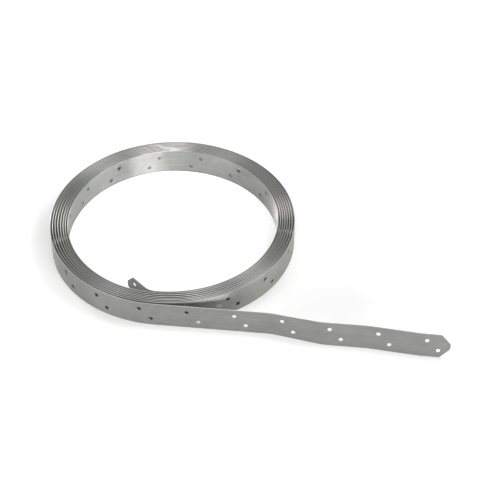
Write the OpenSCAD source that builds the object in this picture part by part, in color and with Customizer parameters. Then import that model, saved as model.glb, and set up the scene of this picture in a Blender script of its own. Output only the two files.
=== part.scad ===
// Coil of galvanized nailing strap, lying flat, with its outer end drawn out as a tail.
// The strap runs from the tip of the tail along +X to the front of the coil, then inward
// round the left, the back and the right of every turn, to a short end bent into the eye.
// The origin is the middle of the coil on the plane that it lies on.

/* [Strap] */
// Width of the strap, which is the height of the coil
strap_w = 31.75; // [20:0.25:50]
// Thickness of the sheet
strap_t = 0.9; // [0.6:0.1:1.4]

/* [Coil] */
// Radius over the outermost turn, where the tail leaves it
outer_r = 142; // [110:1:200]
// Whole turns of strap in the coil
turns = 8; // [4:1:12]
// Step inward from one turn to the next
turn_pitch = 2.6; // [1.8:0.1:3.5]
// Depth to which the gaps between the turns are open at both ends of the coil
gap_depth = 6; // [2:0.5:8]

/* [Tail] */
// Straight run from the coil to the first jog
root_run = 122; // [100:1:160]
// Angle of the first jog
jog_turn = 9; // [4:0.5:12]
// Straight run inside the first jog
jog_run = 44; // [20:1:60]
// Straight run between the two jogs
middle_run = 40; // [20:1:60]
// Angle of the second jog
kink_turn = 5; // [2:0.5:8]
// Straight run inside the second jog
kink_run = 50; // [20:1:70]
// Straight run from the second jog to the tip
tip_run = 28.5; // [26:0.5:60]
// Radius of the soft bends of the tail
soft_bend_r = 80; // [40:5:120]

/* [Inner end] */
// Angle through which the inner end is bent into the eye
hook_turn = 42; // [20:1:55]
// Radius of that bend
hook_bend_r = 20; // [10:1:30]
// Straight run from that bend to the tip
hook_run = 31; // [28:1:45]

/* [Clipped ends] */
// Length of each clipped corner along the strap
clip_l = 10.5; // [4:0.5:14]
// Flat that is left between the clipped corners
nose_w = 7; // [4:0.5:14]
// Rounding where a clipped corner meets the flat
nose_r = 3; // [0.5:0.25:5]
// Rounding where a clipped corner meets an edge of the strap
shoulder_r = 3; // [0.5:0.25:5]

/* [Nail holes] */
// Diameter of a nail hole
hole_d = 4.8; // [3:0.1:6]
// Distance from one pair of holes to the next
hole_pitch = 52.4; // [40:0.1:60]
// Distance along the strap between the two holes of a pair
hole_stagger = 12.7; // [8:0.1:16]
// Distance between the two rows
row_gap = 13; // [8:0.5:20]
// Distance from a tip to the hole nearest it
end_gap = 12.7; // [11:0.1:14]
// Distance along the innermost turn from the inner end's bend to the first pair
inner_first = 50; // [10:1:60]

/* [Hidden] */
$fn = 96;

half_step = turn_pitch / 2;
mid_r = outer_r - strap_t / 2;
inner_mid_r = mid_r - (turns - 0.5) * turn_pitch;
pack_w = (turns - 1) * turn_pitch + strap_t;
upper_row = (strap_w + row_gap) / 2;
lower_row = (strap_w - row_gap) / 2;
clip_h = (strap_w - nose_w) / 2;
shoulder_x = clip_l + shoulder_r;
reach = 1;
bend_step = 1.5;

// Runs of a free end, each as its length and the angle that it turns through, left as positive
function bend(turn, r) = [r * abs(turn) * PI / 180, turn];
tail = [
    [root_run, 0],
    bend(-jog_turn, soft_bend_r),
    [jog_run, 0],
    bend(jog_turn, soft_bend_r),
    [middle_run, 0],
    bend(-kink_turn, soft_bend_r),
    [kink_run, 0],
    bend(kink_turn, soft_bend_r),
    [tip_run, 0]
];
hook = [bend(hook_turn, hook_bend_r), [hook_run, 0]];

// Length of a free end from its root to its tip
function developed(runs, i = 0) = i == len(runs) ? 0 : runs[i][0] + developed(runs, i + 1);

// Place and heading at the far end of one run
function run_r(run) = run[0] * 180 / PI / run[1];
function chord(run) = run[1] == 0 ? run[0] : 2 * run_r(run) * sin(run[1] / 2);
function past(run, at) = [
    at.x + chord(run) * cos(at.z + run[1] / 2),
    at.y + chord(run) * sin(at.z + run[1] / 2),
    at.z + run[1]
];

// Place and heading at a distance along a free end
function part_of(run, s) = [s, run[1] * s / run[0]];
function along(runs, s, at = [0, 0, 0], i = 0) =
    s <= runs[i][0] || i == len(runs) - 1
    ? past(part_of(runs[i], s), at)
    : along(runs, s - runs[i][0], past(runs[i], at), i + 1);

// Corners of a free end's path, with each bend in short steps
function steps(run) = max(1, ceil(abs(run[1]) / bend_step));
function path(runs, at = [0, 0, 0], i = 0) =
    i == len(runs)
    ? [at]
    : concat(
        [for (j = [0 : steps(runs[i]) - 1]) past(part_of(runs[i], runs[i][0] * j / steps(runs[i])), at)],
        path(runs, past(runs[i], at), i + 1)
    );
function beside(at, d) = [at.x - d * sin(at.z), at.y + d * cos(at.z)];

// Plan of a free end: the thickness of the strap along its path
module plan(runs) {
    stations = path(runs);
    last = len(stations) - 1;
    polygon(concat(
        [for (i = [0 : last]) beside(stations[i], strap_t / 2)],
        [for (i = [last : -1 : 0]) beside(stations[i], -strap_t / 2)]
    ));
}

// Side view of a tip, which ends at x = 0: its corners, each with its rounding, in order to the left
tip_corners = [
    [-shoulder_x, 0, 0],
    [-clip_l, 0, shoulder_r],
    [0, clip_h, nose_r],
    [0, strap_w - clip_h, nose_r],
    [-clip_l, strap_w, shoulder_r],
    [-shoulder_x, strap_w, 0]
];

// Heading of the side that leads to a corner, and the angle that the outline turns through there
function side_before(c, i) = let(a = c[(i + len(c) - 1) % len(c)]) atan2(c[i].y - a.y, c[i].x - a.x);
function turn_at(c, i) = (side_before(c, (i + 1) % len(c)) - side_before(c, i) + 360) % 360;

// Place on the side before a corner, or after it, where its rounding starts or ends
function tangent(c, i, after) =
    let(h = side_before(c, i) + (after ? turn_at(c, i) : 0))
    let(d = (after ? 1 : -1) * c[i].z * tan(turn_at(c, i) / 2))
    [c[i].x + d * cos(h), c[i].y + d * sin(h)];

module rounded_outline(c) {
    polygon([
        for (i = [0 : len(c) - 1])
            for (after = c[i].z > 0 ? [false, true] : [false])
                tangent(c, i, after)
    ]);
    for (i = [0 : len(c) - 1])
        if (c[i].z > 0)
            translate(tangent(c, i, false))
                rotate(side_before(c, i))
                translate([0, c[i].z])
                circle(c[i].z);
}

// What the shears take off a tip
module clippings() {
    rotate([90, 0, 0])
        linear_extrude(strap_t + 2 * reach, center = true)
        difference() {
            translate([-shoulder_x, -reach]) square([shoulder_x + reach, strap_w + 2 * reach]);
            rounded_outline(tip_corners);
        }
}

// A free end of the strap, from its root along +X to its clipped tip
module free_end(runs) {
    tip = along(runs, developed(runs));
    difference() {
        linear_extrude(strap_w) plan(runs);
        translate([tip.x, tip.y, 0]) rotate(tip.z) clippings();
    }
}

// Holes through a free end, which are counted from its tip
module end_holes(runs, near_row, far_row) {
    l = developed(runs);
    for (pair = [0 : floor((l - end_gap) / hole_pitch)]) {
        s = l - end_gap - pair * hole_pitch;
        through(along(runs, s), near_row);
        if (s > hole_stagger) through(along(runs, s - hole_stagger), far_row);
    }
}

module through(at, z) {
    translate([at.x, at.y, z])
        rotate(at.z)
        rotate([90, 0, 0])
        cylinder(d = hole_d, h = strap_t + 2 * reach, center = true);
}

// Section of one half of the coil: the turns at both ends, and the packed strap between
module half_section(r) {
    translate([r - pack_w, gap_depth]) square([pack_w, strap_w - 2 * gap_depth]);
    for (turn = [0 : turns - 1])
        translate([r - turn * turn_pitch - strap_t, 0]) square([strap_t, strap_w]);
}

// Each turn is two half circles, and the right half steps the turn inward
module left_half() {
    rotate(90) rotate_extrude(angle = 180) half_section(outer_r);
}

module right_half() {
    translate([0, half_step, 0]) rotate(-90) rotate_extrude(angle = 180) half_section(outer_r - half_step);
}

// A hole through the outermost or the innermost turn, which shows the turn behind it
module wall_hole(angle, r, y, z, side) {
    translate([0, y, z])
        rotate(angle)
        translate([r + side * (strap_t / 2 + reach), 0, 0])
        rotate([0, -90 * side, 0])
        cylinder(d = hole_d, h = turn_pitch + reach);
}

// Place on the outermost turn at a distance back from the tail's root
module outer_hole(s, z) {
    turned = s * 180 / PI / mid_r;
    if (turned < 180)
        wall_hole(-90 - turned, mid_r, 0, z, 1);
    else
        wall_hole(90 - (s - PI * mid_r) * 180 / PI / (mid_r - half_step), mid_r - half_step, half_step, z, 1);
}

// Place on the innermost turn at a distance on from the inner end's bend
module inner_hole(s, z) {
    turned = s * 180 / PI / inner_mid_r;
    if (turned < 180)
        wall_hole(-90 + turned, inner_mid_r, half_step, z, -1);
    else
        wall_hole(
            90 + (s - PI * inner_mid_r) * 180 / PI / (inner_mid_r + half_step),
            inner_mid_r + half_step, 0, z, -1
        );
}

module outer_holes() {
    turn_l = PI * (2 * mid_r - half_step);
    tail_l = developed(tail);
    pairs_on_tail = floor((tail_l - end_gap) / hole_pitch) + 1;
    first = end_gap + pairs_on_tail * hole_pitch - tail_l;
    for (s = [first : hole_pitch : turn_l - hole_stagger - hole_d]) {
        outer_hole(s, lower_row);
        outer_hole(s + hole_stagger, upper_row);
    }
}

module inner_holes() {
    turn_l = PI * (2 * inner_mid_r + half_step);
    for (s = [inner_first : hole_pitch : turn_l - hole_stagger - hole_d]) {
        inner_hole(s, upper_row);
        inner_hole(s + hole_stagger, lower_row);
    }
}

module at_tail_root() {
    translate([0, -mid_r, 0]) children();
}

module at_hook_root() {
    translate([0, half_step - inner_mid_r, 0]) mirror([1, 0, 0]) children();
}

module strap() {
    color([0.62, 0.64, 0.63])
        difference() {
            union() {
                left_half();
                right_half();
                at_tail_root() free_end(tail);
                at_hook_root() free_end(hook);
            }
            at_tail_root() end_holes(tail, lower_row, upper_row);
            at_hook_root() end_holes(hook, upper_row, lower_row);
            outer_holes();
            inner_holes();
        }
}

strap();
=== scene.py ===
# Coil of galvanized nailing strap: punched flat, clipped at both ends, then wound on its edge
import math

import bmesh
import bpy
import numpy as np
from mathutils import Matrix, Vector
from mathutils.geometry import delaunay_2d_cdt


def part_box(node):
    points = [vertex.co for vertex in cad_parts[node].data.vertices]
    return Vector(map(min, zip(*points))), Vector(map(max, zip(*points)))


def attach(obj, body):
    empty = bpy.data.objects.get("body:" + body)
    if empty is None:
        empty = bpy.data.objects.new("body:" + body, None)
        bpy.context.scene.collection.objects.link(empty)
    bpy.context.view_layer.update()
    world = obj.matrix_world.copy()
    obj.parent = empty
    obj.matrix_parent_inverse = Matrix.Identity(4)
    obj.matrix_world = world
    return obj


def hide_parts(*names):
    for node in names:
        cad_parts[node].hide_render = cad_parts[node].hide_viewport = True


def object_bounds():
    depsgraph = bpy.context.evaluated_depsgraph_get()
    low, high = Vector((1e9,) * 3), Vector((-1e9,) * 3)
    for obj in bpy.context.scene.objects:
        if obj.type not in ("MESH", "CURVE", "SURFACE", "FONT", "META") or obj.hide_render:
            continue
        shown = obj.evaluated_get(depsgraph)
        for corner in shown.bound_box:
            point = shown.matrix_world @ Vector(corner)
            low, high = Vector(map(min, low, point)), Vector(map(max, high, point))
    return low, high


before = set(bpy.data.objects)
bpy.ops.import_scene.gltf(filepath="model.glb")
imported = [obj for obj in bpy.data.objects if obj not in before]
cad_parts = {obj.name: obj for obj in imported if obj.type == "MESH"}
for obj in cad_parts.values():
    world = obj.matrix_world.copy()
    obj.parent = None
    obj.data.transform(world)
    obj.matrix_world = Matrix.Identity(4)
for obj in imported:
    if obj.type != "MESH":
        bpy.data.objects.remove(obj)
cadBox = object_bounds()
mm = 0.001


# Small helpers for node trees
def addNode(tree, kind, **settings):
    node = tree.nodes.new(kind)
    for name, value in settings.items():
        setattr(node, name, value)
    return node


def feed(tree, socket, value):
    if isinstance(value, bpy.types.NodeSocket):
        tree.links.new(value, socket)
    else:
        socket.default_value = value


def mathOf(tree, operation, a, b=0.0, clamp=False):
    node = addNode(tree, "ShaderNodeMath", operation=operation, use_clamp=clamp)
    feed(tree, node.inputs[0], a)
    feed(tree, node.inputs[1], b)
    return node.outputs[0]


def vectorOf(tree, operation, a, b=(0, 0, 0), scale=None):
    node = addNode(tree, "ShaderNodeVectorMath", operation=operation)
    feed(tree, node.inputs[0], a)
    if scale is None:
        feed(tree, node.inputs[1], b)
    else:
        feed(tree, node.inputs["Scale"], scale)
    return node.outputs[0]


def xyzOf(tree, x=0.0, y=0.0, z=0.0):
    node = addNode(tree, "ShaderNodeCombineXYZ")
    for socket, value in zip(node.inputs, (x, y, z)):
        feed(tree, socket, value)
    return node.outputs[0]


def noiseOf(tree, where, scale, detail):
    node = addNode(tree, "ShaderNodeTexNoise")
    feed(tree, node.inputs["Vector"], where)
    node.inputs["Scale"].default_value = scale
    node.inputs["Detail"].default_value = detail
    return node.outputs["Fac"]


# 1 where the camera or a reflection sees the surface, 0 where the surface only lights others
def shownOf(tree):
    seen = addNode(tree, "ShaderNodeLightPath").outputs
    shown = mathOf(tree, "ADD", seen["Is Camera Ray"], seen["Is Glossy Ray"])
    return mathOf(tree, "ADD", shown, seen["Is Transmission Ray"], clamp=True)


# The strap as it is punched, in millimetres
strap = {
    "width": (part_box("strap")[1].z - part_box("strap")[0].z) / mm,
    "thickness": 0.9,
    "edgeRound": 0.14,       # sheared edges and punched rims are eased this much
    "pairPitch": 52.4,
    "stagger": 12.7,
    "rowGap": 13.0,
    "holeRadius": 2.4,
    "holeSides": 20,
    "tipToHole": 12.7,
    "columns": 18,           # cross lines in one pitch, so that the sheet can bend
    "lineClear": 0.3,        # a cross line stays this far off a hole's rim
    "clipLength": 10.5,
    "noseWidth": 7.0,
    "noseRound": 3.0,
    "shoulderRound": 3.0,
    "roundSteps": 5,
    "mitreLimit": 0.5,       # keeps an inset corner from running away
    "weld": 0.02,            # sheets whose points are nearer than this are joined
    "sharpAngle": 32.0,      # degrees between two faces that don't shade as one
    "sameWay": 0.9,          # a face that looks along the sheet's facing this well is one of its two sides
}
upperRow = (strap["width"] + strap["rowGap"]) / 2
lowerRow = (strap["width"] - strap["rowGap"]) / 2
pairMargin = (strap["pairPitch"] - strap["stagger"]) / 2
tipLength = strap["tipToHole"] + strap["stagger"] + pairMargin
clipHeight = (strap["width"] - strap["noseWidth"]) / 2
clipSlope = math.atan2(clipHeight, strap["clipLength"])
noseReach = strap["clipLength"] + strap["shoulderRound"] * math.tan(clipSlope / 2)


# Chains of outline points run with the sheet on their left
def insetChain(chain, closed, depth):
    inset = []
    last = len(chain) - 1
    for i, point in enumerate(chain):
        before = chain[i - 1] if (i > 0 or closed) else None
        after = chain[(i + 1) % len(chain)] if (i < last or closed) else None
        normals = []
        for a, b in ((before, point), (point, after)):
            if a is not None and b is not None:
                d = (Vector(b) - Vector(a)).normalized()
                normals.append(Vector((-d.y, d.x)))
        mean = sum(normals, Vector((0, 0))).normalized()
        stretch = max(strap["mitreLimit"], mean.dot(normals[0]))
        inset.append(tuple(Vector(point) + mean * (depth / stretch)))
    return inset


def holeChain(centre):
    sides, radius = strap["holeSides"], strap["holeRadius"]
    turns = [-2 * math.pi * k / sides for k in range(sides)]
    return [(centre[0] + radius * math.cos(a), centre[1] + radius * math.sin(a)) for a in turns]


def evenLine(fromX, toX, z):
    count = max(1, round(abs(toX - fromX) / (strap["pairPitch"] / strap["columns"])))
    return [(fromX + (toX - fromX) * i / count, z) for i in range(count + 1)]


# Clipped nose from its lower shoulder to its upper one; it points to +X for side 1, to -X for side -1
def noseChain(tipX, side):
    steps = strap["roundSteps"]
    shoulder, nose = strap["shoulderRound"], strap["noseRound"]
    turn = math.pi / 2 - clipSlope
    lift = clipHeight + nose * math.tan(turn / 2)
    points = []
    for i in range(1, steps + 1):
        a = clipSlope * i / steps
        points.append((noseReach - shoulder * math.sin(a), shoulder * (1 - math.cos(a))))
    for i in range(steps + 1):
        a = turn * (i / steps - 1)
        points.append((nose * (1 - math.cos(a)), lift + nose * math.sin(a)))
    points += [(back, strap["width"] - z) for back, z in reversed(points)]
    return [(tipX - side * back, z) for back, z in points]


# Lines that the sheet's triangles keep to, as pairs of point numbers
def sheetLines(loops, starts, holes, crossLines):
    lines = []
    for first, (chain, inset, closed) in zip(starts, loops):
        lines += [(first + i, first + i + 1) for i in range(len(chain) - 1)]
        if closed:
            lines.append((first + len(chain) - 1, first))
    outlines = [(first, loop[0]) for first, loop in zip(starts, loops) if not loop[2]]
    # the cut ends, where the next sheet joins on
    for (first, chain), (onward, _) in zip(outlines, outlines[1:] + outlines[:1]):
        lines.append((first + len(chain) - 1, onward))
    # a cross line joins the two edge points that share its x
    corners = [(first + i, p) for first, chain in outlines for i, p in enumerate(chain)]
    low = {p[0]: i for i, p in corners if p[1] == 0}
    high = {p[0]: i for i, p in corners if p[1] == strap["width"]}
    clear = strap["holeRadius"] + strap["edgeRound"] + strap["lineClear"]
    for x in crossLines:
        if all(abs(x - hole[0]) > clear for hole in holes):
            lines.append((low[x], high[x]))
    return lines


# Triangles of one side of the sheet, with the holes left open, and where each given point went
def sheetTriangles(points, lines, holes):
    insideOnly, nearness = 1, 1e-5
    found, _, triangles, origins, _, _ = delaunay_2d_cdt(points, lines, [], insideOnly, nearness)
    rimReach = (strap["holeRadius"] + strap["edgeRound"]) * math.cos(math.pi / strap["holeSides"])
    kept = []
    for triangle in triangles:
        middle = sum((found[i] for i in triangle), Vector((0, 0))) / 3
        if all((middle - Vector(hole)).length > rimReach for hole in holes):
            kept.append(triangle)
    place = {source: i for i, sources in enumerate(origins) for source in sources}
    return found, kept, place


def punchedSheet(name, chains, holes, crossLines, start=0.0):
    ease = strap["edgeRound"]
    half = strap["thickness"] / 2
    loops = [(chain, insetChain(chain, False, ease), False) for chain in chains]
    loops += [(rim, insetChain(rim, True, ease), True) for rim in map(holeChain, holes)]
    starts = [sum(len(loop[0]) for loop in loops[:i]) for i in range(len(loops))]
    points = [Vector(p) for loop in loops for p in loop[1]]
    found, triangles, place = sheetTriangles(points, sheetLines(loops, starts, holes, crossLines), holes)
    sheet = bmesh.new()
    front = [sheet.verts.new((p.x, half, p.y)) for p in found]
    back = [sheet.verts.new((p.x, -half, p.y)) for p in found]
    for a, b, c in triangles:
        sheet.faces.new((front[a], front[c], front[b]))
        sheet.faces.new((back[a], back[b], back[c]))
    # eased edges and rims, from the front over to the back
    for first, (chain, inset, closed) in zip(starts, loops):
        rows = [
            [front[place[first + i]] for i in range(len(chain))],
            [sheet.verts.new((p[0], half - ease, p[1])) for p in chain],
            [sheet.verts.new((p[0], ease - half, p[1])) for p in chain],
            [back[place[first + i]] for i in range(len(chain))],
        ]
        steps = len(chain) if closed else len(chain) - 1
        for upper, lower in zip(rows[:-1], rows[1:]):
            for i in range(steps):
                j = (i + 1) % len(chain)
                sheet.faces.new((upper[i], upper[j], lower[j], lower[i]))
    bmesh.ops.delete(sheet, geom=[v for v in sheet.verts if not v.link_faces], context="VERTS")
    mesh = bpy.data.meshes.new(name)
    sheet.to_mesh(mesh)
    sheet.free()
    mesh.transform(Matrix.Scale(mm, 4) @ Matrix.Translation((start, 0, 0)))
    piece = bpy.data.objects.new(name, mesh)
    bpy.context.scene.collection.objects.link(piece)
    return piece


# One pitch of strap with its pair of holes
def middleSheet():
    lower = evenLine(0, strap["pairPitch"], 0)
    upper = [(x, strap["width"]) for x, z in reversed(lower)]
    holes = [(pairMargin, lowerRow), (pairMargin + strap["stagger"], upperRow)]
    return punchedSheet("punchedSheet", [lower, upper], holes, [x for x, z in lower[1:-1]])


# The nose points to -X, and the first pair of holes is on it
def tailTipSheet():
    lower = evenLine(noseReach, tipLength, 0)
    upper = [(x, strap["width"]) for x, z in reversed(lower)]
    chain = upper + list(reversed(noseChain(0, -1))) + lower
    firstHole = strap["tipToHole"]
    holes = [(firstHole, lowerRow), (firstHole + strap["stagger"], upperRow)]
    return punchedSheet("tailTip", [chain], holes, [x for x, z in lower[1:-1]])


# The nose points to +X, and the last pair of holes is counted from its own tip
def innerEndSheet(start, length):
    lower = evenLine(0, length - noseReach, 0)
    upper = [(x, strap["width"]) for x, z in reversed(lower)]
    chain = lower + noseChain(length, 1) + upper
    lastHole = length - strap["tipToHole"]
    holes = [(lastHole, upperRow), (lastHole - strap["stagger"], lowerRow)]
    return punchedSheet("innerEnd", [chain], holes, [x for x, z in lower[1:-1]], start)


# The coil's route, in millimetres, from the tip of the tail to the tip of the inner end
coil = {
    "outerRadius": -cadBox[0].x / mm,
    "turns": 8,
    "turnPitch": 2.55,
    "pointEvery": 1.5,
    "waves": [(2, 0.22, 0.4), (3, 0.16, 2.1), (5, 0.07, 4.0)],   # lobes round a turn, height, phase
    "drift": 0.9,            # how fast the phase slips from turn to turn
    "fade": 0.25,            # share of a turn over which the waves die out at both roots
    "lift": 0.25,            # how far a turn may ride up off the floor
    "liftPace": 2.4,         # how fast it rises and sinks from turn to turn, and how unevenly
    "liftStir": 5.1,
    "outerSway": (2.4, 0.4, -0.5, 0.0),    # stand-off of the outermost turn at right, back, left, front
    "innerSway": (1.1, 1.2, -2.2, 0.3),    # the same for the innermost turn
    "leftLean": -0.066,      # the innermost turn's top edge leans into the eye at left
}
# runs are a length and a turn in degrees to the left; a bend has no length of its own
tail = {
    "softBend": 80.0,
    "runs": [(122, 0), (None, -9), (44, 0), (None, 9), (40, 0), (None, -5), (50, 0), (None, 5), (28.5, 0)],
    "leanStart": 128.0,      # where along the tail its top edge starts to lean back, and where it has leant
    "leanEnd": 205.0,
    "lean": -0.075,
}
hook = {"softBend": 20.0, "runs": [(None, -42), (31, 0)]}


def walk(x, y, heading, piece):
    points = [(x, y)]
    for length, turn in piece["runs"]:
        if length is None:
            length = piece["softBend"] * math.radians(abs(turn))
        steps = max(2, round(length / coil["pointEvery"]))
        for i in range(steps):
            heading += turn / steps / 2
            x += length / steps * math.cos(math.radians(heading))
            y += length / steps * math.sin(math.radians(heading))
            heading += turn / steps / 2
            points.append((x, y))
    return points


def lengthOf(points):
    return sum((Vector(b) - Vector(a)).length for a, b in zip(points[:-1], points[1:]))


def tailLean(run):
    share = (run - tail["leanStart"]) / (tail["leanEnd"] - tail["leanStart"])
    share = min(1.0, max(0.0, share))
    return tail["lean"] * share * share * (3 - 2 * share)


# u counts turns from the tail's root, which is at the front, round by the left
def angleOf(u):
    return -math.pi / 2 - 2 * math.pi * u


def fadeOf(u):
    return min(1.0, u / coil["fade"], (coil["turns"] - u) / coil["fade"])


# The turns aren't true circles: the stand-off goes over from the outermost turn's to the innermost's
def swayOf(u, angle):
    share = u / coil["turns"]
    sways = zip(coil["outerSway"], coil["innerSway"])
    right, back, left, front = (a + (b - a) * share for a, b in sways)
    across = right if math.cos(angle) > 0 else left
    along = back if math.sin(angle) > 0 else front
    return across * math.cos(angle) ** 2 + along * math.sin(angle) ** 2


def coilPoint(u):
    angle = angleOf(u)
    slip = coil["drift"] * u
    wave = sum(h * math.sin(lobes * angle + phase + slip) for lobes, h, phase in coil["waves"])
    radius = coil["outerRadius"] - strap["thickness"] / 2 - coil["turnPitch"] * u
    radius += swayOf(u, angle) + fadeOf(u) * wave
    return radius * math.cos(angle), radius * math.sin(angle)


def coilLean(u):
    toLeft = max(0.0, -math.cos(angleOf(u)))
    return coil["leftLean"] * u / coil["turns"] * toLeft ** 2


def coilLift(u):
    swell = math.sin(coil["liftPace"] * u + math.cos(coil["liftStir"] * u))
    return fadeOf(u) * coil["lift"] * (1 + swell) / 2


# Route points are x, y, z and the lean of the strap
def makeRoute():
    tailPoints = walk(*coilPoint(0), 0, tail)
    route = []
    run = lengthOf(tailPoints)
    before = tailPoints[-1]
    for point in reversed(tailPoints):
        run -= (Vector(point) - Vector(before)).length
        route.append((*point, 0.0, tailLean(run)))
        before = point
    count = round(coil["turns"] * 2 * math.pi * coil["outerRadius"] / coil["pointEvery"])
    for i in range(1, count + 1):
        u = coil["turns"] * i / count
        route.append((*coilPoint(u), coilLift(u), coilLean(u)))
    hookPoints = walk(route[-1][0], route[-1][1], 180, hook)
    route += [(x, y, 0.0, 0.0) for x, y in hookPoints[1:]]
    curve = bpy.data.curves.new("strapRoute", "CURVE")
    curve.dimensions = "3D"
    line = curve.splines.new("POLY")
    line.points.add(len(route) - 1)
    for point, (x, y, z, lean) in zip(line.points, route):
        point.co = (x * mm, y * mm, z * mm, 1)
        point.tilt = lean
    path = bpy.data.objects.new("strapRoute", curve)
    bpy.context.scene.collection.objects.link(path)
    return path, lengthOf([point[:3] for point in route])


# Sheets laid end to end along X, with both ends of the strap, welded into one
def layFlat(tree, given):
    line = addNode(tree, "GeometryNodeMeshLine", mode="OFFSET", count_mode="TOTAL")
    feed(tree, line.inputs["Count"], given["Sheets"])
    feed(tree, line.inputs["Start Location"], xyzOf(tree, given["First Sheet"]))
    feed(tree, line.inputs["Offset"], xyzOf(tree, given["Sheet Length"]))
    sheets = addNode(tree, "GeometryNodeInstanceOnPoints")
    feed(tree, sheets.inputs["Points"], line.outputs["Mesh"])
    feed(tree, sheets.inputs["Instance"], given["Geometry"])
    together = addNode(tree, "GeometryNodeJoinGeometry")
    feed(tree, together.inputs[0], sheets.outputs[0])
    for name in ("Tail Tip", "Inner End"):
        end = addNode(tree, "GeometryNodeObjectInfo", transform_space="ORIGINAL")
        feed(tree, end.inputs["Object"], given[name])
        feed(tree, together.inputs[0], end.outputs["Geometry"])
    real = addNode(tree, "GeometryNodeRealizeInstances")
    feed(tree, real.inputs[0], together.outputs[0])
    weld = addNode(tree, "GeometryNodeMergeByDistance")
    feed(tree, weld.inputs["Geometry"], real.outputs[0])
    feed(tree, weld.inputs["Distance"], given["Weld"])
    return weld.outputs[0]


def storeOn(tree, geometry, name, value):
    store = addNode(tree, "GeometryNodeStoreNamedAttribute", data_type="FLOAT_VECTOR", domain="POINT")
    feed(tree, store.inputs["Geometry"], geometry)
    store.inputs["Name"].default_value = name
    feed(tree, store.inputs["Value"], value)
    return store.outputs["Geometry"]


# Winds the flat sheets onto the route: x runs along it, y stands off it, z stays up
def windTree():
    tree = bpy.data.node_groups.new("windStrap", "GeometryNodeTree")
    face = tree.interface
    face.new_socket("Geometry", in_out="INPUT", socket_type="NodeSocketGeometry")
    for name, kind in (
        ("Sheets", "Int"), ("Sheet Length", "Float"), ("First Sheet", "Float"),
        ("Half Width", "Float"), ("Weld", "Float"), ("Tail Tip", "Object"),
        ("Inner End", "Object"), ("Route", "Object"), ("Finish", "Material"),
    ):
        face.new_socket(name, in_out="INPUT", socket_type="NodeSocket" + kind)
    face.new_socket("Geometry", in_out="OUTPUT", socket_type="NodeSocketGeometry")
    given = addNode(tree, "NodeGroupInput").outputs
    here = addNode(tree, "GeometryNodeInputPosition").outputs[0]
    parts = addNode(tree, "ShaderNodeSeparateXYZ")
    feed(tree, parts.inputs[0], here)
    route = addNode(tree, "GeometryNodeObjectInfo", transform_space="ORIGINAL")
    feed(tree, route.inputs["Object"], given["Route"])
    sample = addNode(tree, "GeometryNodeSampleCurve", mode="LENGTH", data_type="FLOAT")
    feed(tree, sample.inputs["Curves"], route.outputs["Geometry"])
    feed(tree, sample.inputs["Value"], addNode(tree, "GeometryNodeInputCurveTilt").outputs[0])
    feed(tree, sample.inputs["Length"], parts.outputs[0])
    tangent, lean = sample.outputs["Tangent"], sample.outputs["Value"]
    outward = vectorOf(tree, "NORMALIZE", vectorOf(tree, "CROSS_PRODUCT", (0, 0, 1), tangent))
    level = mathOf(tree, "SUBTRACT", parts.outputs[2], given["Half Width"])
    standOff = mathOf(tree, "ADD", parts.outputs[1], mathOf(tree, "MULTIPLY", level, lean))
    side = vectorOf(tree, "SCALE", outward, scale=standOff)
    wound = vectorOf(tree, "ADD", sample.outputs["Position"], side)
    wound = vectorOf(tree, "ADD", wound, xyzOf(tree, z=parts.outputs[2]))
    # which way the bent sheet faces, for smooth shading beside the holes
    upright = vectorOf(tree, "SCALE", (0, 0, 1), scale=mathOf(tree, "MULTIPLY", lean, -1.0))
    facing = vectorOf(tree, "NORMALIZE", vectorOf(tree, "ADD", outward, upright))
    # kept while the sheets still lie flat: place along the strap, facing, and the way it was rolled
    geometry = storeOn(tree, layFlat(tree, given), "strapRun", here)
    geometry = storeOn(tree, geometry, "facing", facing)
    geometry = storeOn(tree, geometry, "grain", tangent)
    move = addNode(tree, "GeometryNodeSetPosition")
    feed(tree, move.inputs["Geometry"], geometry)
    feed(tree, move.inputs["Position"], wound)
    settle = addNode(tree, "GeometryNodeRealizeInstances")
    feed(tree, settle.inputs[0], move.outputs[0])
    finish = addNode(tree, "GeometryNodeSetMaterial")
    feed(tree, finish.inputs["Geometry"], settle.outputs[0])
    feed(tree, finish.inputs["Material"], given["Finish"])
    out = addNode(tree, "NodeGroupOutput")
    feed(tree, out.inputs[0], finish.outputs[0])
    return tree


# Satin zinc over rolled steel
zinc = {
    "dull": (0.270, 0.272, 0.257),
    "colour": (0.304, 0.306, 0.290),
    "pale": (0.345, 0.347, 0.330),
    # colour of the sheared edges: bare steel, lightened further as a painted highlight on the rims
    "edge": (0.44, 0.44, 0.42),
    "dullAt": 0.3,           # tones at which the three coatings are reached
    "colourAt": 0.5,
    "paleAt": 0.72,
    "metallic": 0.8,
    "anisotropic": 1.0,
    "acrossGrain": 0.25,     # a quarter turn, so that highlights spread up and down the strap
    "smooth": 0.34,          # roughness where the tone is 0, and where it is 1
    "matt": 0.42,
    "spangle": 0.007,        # size of a zinc crystal, metres
    "spangleShare": 0.15,    # what crystals, rolling streaks and clouds give to the tone
    "streak": (3.0, 0.0, 420.0),
    "streakDetail": 4.0,
    "streakShare": 0.45,
    "cloud": 38.0,
    "cloudDetail": 5.0,
    "cloudShare": 0.4,
    "pitting": 900.0,
    "pittingDetail": 3.0,
    "pittingStrength": 0.08,
    "pittingDepth": 0.0002,
}


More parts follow.
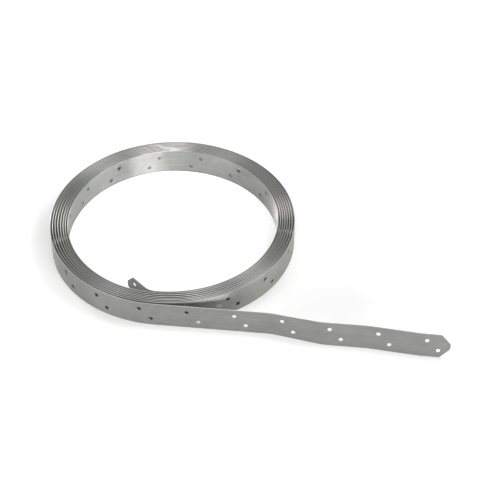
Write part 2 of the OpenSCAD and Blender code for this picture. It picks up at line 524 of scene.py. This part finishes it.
# Tone of the coating, from dull to pale
def coatingTone(tree, run):
    streakMap = addNode(tree, "ShaderNodeMapping")
    feed(tree, streakMap.inputs["Vector"], run)
    streakMap.inputs["Scale"].default_value = zinc["streak"]
    streak = noiseOf(tree, streakMap.outputs[0], 1.0, zinc["streakDetail"])
    cloud = noiseOf(tree, run, zinc["cloud"], zinc["cloudDetail"])
    spangle = addNode(tree, "ShaderNodeTexVoronoi", feature="F1", distance="EUCLIDEAN")
    feed(tree, spangle.inputs["Vector"], run)
    spangle.inputs["Scale"].default_value = 1 / zinc["spangle"]
    crystal = addNode(tree, "ShaderNodeSeparateColor")
    feed(tree, crystal.inputs[0], spangle.outputs["Color"])
    tone = mathOf(tree, "MULTIPLY", streak, zinc["streakShare"])
    tone = mathOf(tree, "ADD", tone, mathOf(tree, "MULTIPLY", cloud, zinc["cloudShare"]))
    return mathOf(tree, "ADD", tone, mathOf(tree, "MULTIPLY", crystal.outputs[0], zinc["spangleShare"]))


# 1 on the sheared edges, which are painted lighter than the coated faces: partly their bare steel, partly a
# painted highlight on the rims
def edgeShare(tree, run):
    half = strap["width"] / 2 * mm
    ease = strap["edgeRound"] * mm
    parts = addNode(tree, "ShaderNodeSeparateXYZ")
    feed(tree, parts.inputs[0], run)
    reach = mathOf(tree, "ABSOLUTE", mathOf(tree, "SUBTRACT", parts.outputs[2], half))
    edge = addNode(tree, "ShaderNodeMapRange", interpolation_type="SMOOTHSTEP")
    feed(tree, edge.inputs["Value"], reach)
    edge.inputs["From Min"].default_value = half - 2 * ease
    edge.inputs["From Max"].default_value = half - ease / 2
    return edge.outputs["Result"]


def zincFinish():
    finish = bpy.data.materials.new("galvanizedZinc")
    finish.use_nodes = True
    tree = finish.node_tree
    shader = tree.nodes["Principled BSDF"]
    run = addNode(tree, "ShaderNodeAttribute", attribute_name="strapRun").outputs["Vector"]
    tone = coatingTone(tree, run)
    ramp = addNode(tree, "ShaderNodeValToRGB")
    feed(tree, ramp.inputs["Fac"], tone)
    dull, pale = ramp.color_ramp.elements
    dull.position = zinc["dullAt"]
    dull.color = (*zinc["dull"], 1)
    pale.position = zinc["paleAt"]
    pale.color = (*zinc["pale"], 1)
    ramp.color_ramp.elements.new(zinc["colourAt"]).color = (*zinc["colour"], 1)
    # the sheared edges get their lighter colour here: bare steel plus a painted highlight on the rims
    tint = addNode(tree, "ShaderNodeMix", data_type="RGBA")
    feed(tree, tint.inputs[0], edgeShare(tree, run))
    feed(tree, tint.inputs[6], ramp.outputs["Color"])
    tint.inputs[7].default_value = (*zinc["edge"], 1)
    feed(tree, shader.inputs["Base Color"], tint.outputs[2])
    rough = mathOf(tree, "MULTIPLY", tone, zinc["matt"] - zinc["smooth"])
    feed(tree, shader.inputs["Roughness"], mathOf(tree, "ADD", rough, zinc["smooth"]))
    shader.inputs["Metallic"].default_value = zinc["metallic"]
    grain = addNode(tree, "ShaderNodeAttribute", attribute_name="grain")
    feed(tree, shader.inputs["Tangent"], grain.outputs["Vector"])
    shader.inputs["Anisotropic"].default_value = zinc["anisotropic"]
    shader.inputs["Anisotropic Rotation"].default_value = zinc["acrossGrain"]
    bump = addNode(tree, "ShaderNodeBump")
    bump.inputs["Strength"].default_value = zinc["pittingStrength"]
    bump.inputs["Distance"].default_value = zinc["pittingDepth"]
    feed(tree, bump.inputs["Height"], noiseOf(tree, run, zinc["pitting"], zinc["pittingDetail"]))
    feed(tree, shader.inputs["Normal"], bump.outputs["Normal"])
    return finish


# Both sides of the sheet shade as one bent surface; rims and edges keep their own normals
def smoothSheet(mesh):
    mesh.shade_smooth()
    mesh.set_sharp_from_angle(angle=math.radians(strap["sharpAngle"]))
    facing = np.empty(len(mesh.vertices) * 3)
    mesh.attributes["facing"].data.foreach_get("vector", facing)
    corners = np.empty(len(mesh.loops) * 3)
    mesh.corner_normals.foreach_get("vector", corners)
    faces = np.empty(len(mesh.polygons) * 3)
    mesh.polygons.foreach_get("normal", faces)
    counts = np.empty(len(mesh.polygons), int)
    mesh.polygons.foreach_get("loop_total", counts)
    points = np.empty(len(mesh.loops), int)
    mesh.loops.foreach_get("vertex_index", points)
    facing = facing.reshape(-1, 3)[points]
    side = (np.repeat(faces.reshape(-1, 3), counts, axis=0) * facing).sum(axis=1)[:, None]
    sheetSide = np.abs(side) > strap["sameWay"]
    corners = np.where(sheetSide, facing * np.sign(side), corners.reshape(-1, 3))
    mesh.normals_split_custom_set(corners.tolist())
    mesh.attributes.remove(mesh.attributes["facing"])


def windStrap():
    path, length = makeRoute()
    sheets = int((length - 2 * tipLength) // strap["pairPitch"])
    innerStart = tipLength + sheets * strap["pairPitch"]
    middle = middleSheet()
    tip = tailTipSheet()
    inner = innerEndSheet(innerStart, length - innerStart)
    tree = windTree()
    winder = middle.modifiers.new("wind", "NODES")
    winder.node_group = tree
    settings = {
        "Sheets": sheets,
        "Sheet Length": strap["pairPitch"] * mm,
        "First Sheet": tipLength * mm,
        "Half Width": strap["width"] / 2 * mm,
        "Weld": strap["weld"] * mm,
        "Tail Tip": tip,
        "Inner End": inner,
        "Route": path,
        "Finish": zincFinish(),
    }
    for item in tree.interface.items_tree:
        if item.in_out == "INPUT" and item.name in settings:
            winder[item.identifier] = settings[item.name]
    bpy.context.view_layer.update()
    evaluated = middle.evaluated_get(bpy.context.evaluated_depsgraph_get())
    mesh = bpy.data.meshes.new_from_object(evaluated)
    mesh.name = "woundStrap"
    middle.modifiers.remove(winder)
    for helper in (middle, tip, inner, path):
        bpy.data.objects.remove(helper)
    smoothSheet(mesh)
    piece = bpy.data.objects.new("woundStrap", mesh)
    bpy.context.scene.collection.objects.link(piece)
    mesh.calc_loop_triangles()
    triangles = len(mesh.loop_triangles)
    print("strap wound:", round(length), "mm long,", sheets + 2, "pairs,", triangles, "triangles")
    return piece


wound = windStrap()
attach(wound, "root")
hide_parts("strap")

# Camera, fitted to the picture's 500 by 500 frame; angles in degrees, lengths in metres
view = {
    "azimuth": 10.0,
    "elevation": 42.15,
    "distance": 1.6307,
    "aimX": 0.00098,
    "aimY": 0.01032,
    "yaw": -3.14,
    "pitch": -0.88,
    "roll": -2.5,
    "focalPixels": 1378.5,
    "imagePixels": 500,
    "sensor": 36.0,          # millimetres
}


def makeCamera():
    elevation = math.radians(view["elevation"])
    turn = Matrix.Rotation(math.radians(view["azimuth"]), 4, "Z")
    toward = Vector((0, -math.cos(elevation), math.sin(elevation)))
    place = toward * view["distance"] + Vector((view["aimX"], view["aimY"], 0))
    axes = Matrix.Rotation(math.pi / 2 - elevation, 4, "X")
    swing = Matrix.Rotation(math.radians(view["yaw"]), 4, "Y")
    nod = Matrix.Rotation(math.radians(view["pitch"]), 4, "X")
    roll = Matrix.Rotation(math.radians(view["roll"]), 4, "Z")
    lens = bpy.data.cameras.new("camera")
    lens.sensor_width = view["sensor"]
    lens.lens = view["sensor"] * view["focalPixels"] / view["imagePixels"]
    camera = bpy.data.objects.new("camera", lens)
    camera.matrix_world = turn @ Matrix.Translation(place) @ axes @ swing @ nod @ roll
    bpy.context.scene.collection.objects.link(camera)
    bpy.context.scene.camera = camera


makeCamera()
print("camera set")

# Plain pale floor and soft light
studio = {
    "floorSize": 12.0,
    "floorColour": (0.82, 0.82, 0.82),
    "floorRough": 0.9,
    "floorShine": 0.1,
    "world": 0.08,
    "nearGlow": 0.28,        # what the floor adds of its own beside the coil, and far from the lamps
    "farGlow": 1.0,
    "glowFrom": 0.2,
    "glowTo": 1.5,
    # power in watts, width and height in metres, then azimuth, elevation and distance from the origin
    "lamps": {
        "keySoftbox": (49.0, 1.4, 0.4, -55, 12, 2.6),
        "rightSoftbox": (9.8, 0.6, 0.6, 14, 54, 1.5),
        "leftSoftbox": (4.4, 0.6, 0.6, -150, 50, 1.5),
        "backSoftbox": (10.6, 0.35, 0.35, 140, 15, 1.5),
        "topLamp": (0.9, 0.3, 0.3, -60, 84, 0.6),
    },
    # a narrow lamp that looks straight down into the eye; its beam is in degrees
    "eyeLamp": {"power": 0.17, "size": 0.12, "place": (-0.01, 0.03, 0.6), "beam": 18},
}


def paleFloor():
    bpy.ops.mesh.primitive_plane_add(size=studio["floorSize"])
    floor = bpy.context.object
    floor.name = "floor"
    paint = bpy.data.materials.new("paleFloor")
    paint.use_nodes = True
    tree = paint.node_tree
    shader = tree.nodes["Principled BSDF"]
    shader.inputs["Base Color"].default_value = (*studio["floorColour"], 1)
    shader.inputs["Roughness"].default_value = studio["floorRough"]
    shader.inputs["Specular IOR Level"].default_value = studio["floorShine"]
    # the glow grows where the lamps fall off, so that the floor stays white to its far edge
    away = addNode(tree, "ShaderNodeVectorMath", operation="LENGTH")
    feed(tree, away.inputs[0], addNode(tree, "ShaderNodeTexCoord").outputs["Object"])
    glow = addNode(tree, "ShaderNodeMapRange", interpolation_type="SMOOTHSTEP")
    feed(tree, glow.inputs["Value"], away.outputs["Value"])
    glow.inputs["From Min"].default_value = studio["glowFrom"]
    glow.inputs["From Max"].default_value = studio["glowTo"]
    glow.inputs["To Min"].default_value = studio["nearGlow"]
    glow.inputs["To Max"].default_value = studio["farGlow"]
    strength = mathOf(tree, "MULTIPLY", shownOf(tree), glow.outputs["Result"])
    feed(tree, shader.inputs["Emission Strength"], strength)
    shader.inputs["Emission Color"].default_value = (1, 1, 1, 1)
    floor.data.materials.append(paint)


# White where it is seen, and faint where it lights the coil
def whiteSky():
    world = bpy.data.worlds.new("studio")
    bpy.context.scene.world = world
    world.use_nodes = True
    tree = world.node_tree
    sky = tree.nodes["Background"]
    lift = mathOf(tree, "MULTIPLY", shownOf(tree), 1 - studio["world"])
    feed(tree, sky.inputs["Strength"], mathOf(tree, "ADD", lift, studio["world"]))
    sky.inputs["Color"].default_value = (1, 1, 1, 1)


def softLamps():
    for name, (power, wide, tall, azimuth, elevation, distance) in studio["lamps"].items():
        lamp = bpy.data.lights.new(name, "AREA")
        lamp.shape = "RECTANGLE"
        lamp.energy = power
        lamp.size = wide
        lamp.size_y = tall
        turn, rise = math.radians(azimuth), math.radians(elevation)
        flat = math.cos(rise)
        away = Vector((flat * math.cos(turn), flat * math.sin(turn), math.sin(rise)))
        light = bpy.data.objects.new(name, lamp)
        light.location = away * distance
        light.rotation_euler = away.to_track_quat("Z", "Y").to_euler()
        bpy.context.scene.collection.objects.link(light)


# The floor throws its light back at the inner wall
def eyeLamp():
    spot = studio["eyeLamp"]
    lamp = bpy.data.lights.new("eyeLamp", "AREA")
    lamp.energy = spot["power"]
    lamp.size = spot["size"]
    lamp.spread = math.radians(spot["beam"])
    light = bpy.data.objects.new("eyeLamp", lamp)
    light.location = spot["place"]
    bpy.context.scene.collection.objects.link(light)


paleFloor()
whiteSky()
softLamps()
eyeLamp()
bpy.context.scene.view_settings.view_transform = "Standard"
print("studio set")
